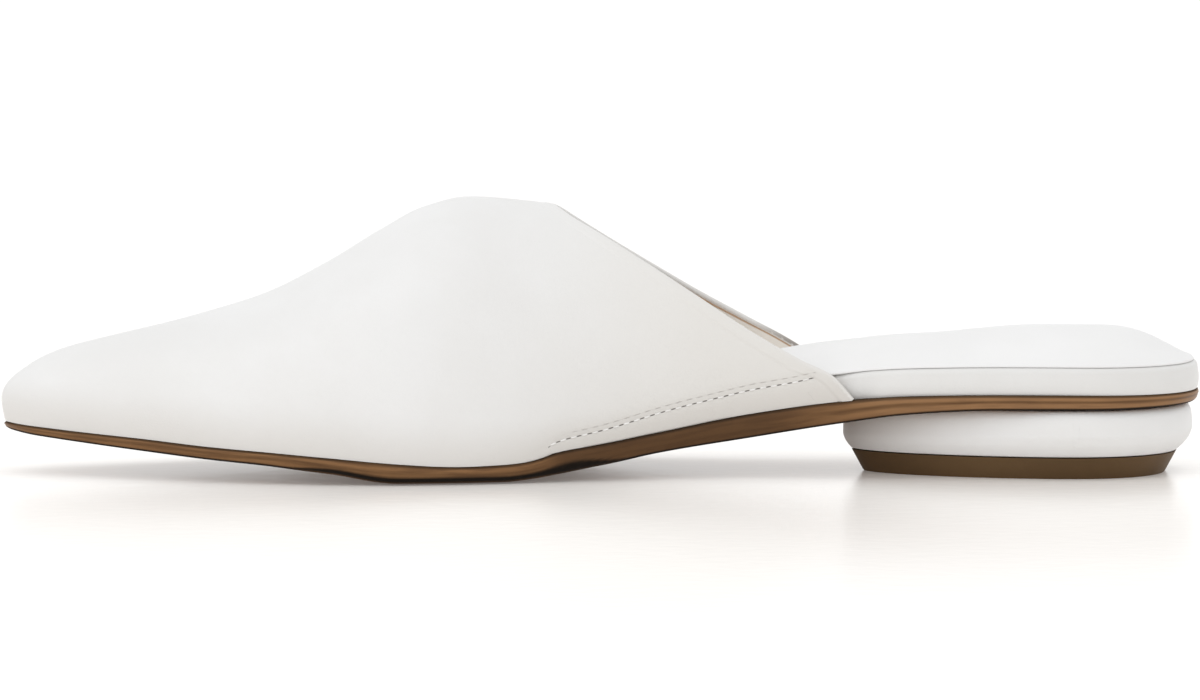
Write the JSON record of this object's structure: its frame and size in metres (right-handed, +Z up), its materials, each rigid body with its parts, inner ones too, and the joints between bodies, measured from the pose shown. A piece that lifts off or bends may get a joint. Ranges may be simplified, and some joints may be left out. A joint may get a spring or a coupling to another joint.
{
  "type": "mule shoe",
  "caption": "Flat slip-on leather mule with a pointed closed toe, a high full vamp, an open back, a cushioned insole and a low covered heel.",
  "frame": {"origin": "on the floor, under the middle of the shoe's box", "axes": "+X along the shoe to the toe, +Y to the arch side of a right shoe, +Z up"},
  "size_m": [0.266, 0.0786, 0.0614],
  "materials": {
    "upper_leather": "smooth white leather, satin, with a pale beige lining",
    "insole_leather": "smooth white leather wrapped over the insole board",
    "sock_leather": "soft white leather over foam",
    "sole_leather": "brown waxed leather, satin at the edge",
    "heel_leather": "smooth white leather wrapped over the heel block",
    "top_piece": "dark brown, matt"
  },
  "bodies": {
    "root": {"upper": "upper_leather", "insole": "insole_leather", "sock": "sock_leather", "outsole": "sole_leather", "heel": "heel_leather", "top_piece": "top_piece"}
  },
  "joints": []
}
